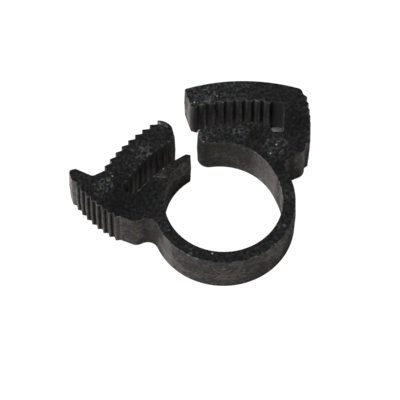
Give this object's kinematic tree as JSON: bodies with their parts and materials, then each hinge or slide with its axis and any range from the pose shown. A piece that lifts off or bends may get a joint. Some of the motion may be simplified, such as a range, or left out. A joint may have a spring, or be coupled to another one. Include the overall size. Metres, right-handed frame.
{
  "type": "tubing clamp",
  "caption": "One-piece moulded snap clamp for soft tubing: an open round strap with two ribbed jaws whose toothed tongue and hood ratchet together.",
  "frame": {"origin": "centre of the open bore, on the face the clamp lies on", "axes": "+Z along the bore, towards the face seen in the picture; +Y through the middle of the mouth; +X towards the jaw with the hood"},
  "size_m": [0.0287, 0.023, 0.0055],
  "materials": {
    "black_nylon": "satin"
  },
  "bodies": {
    "root": {"clamp_body": "black_nylon"}
  },
  "joints": []
}
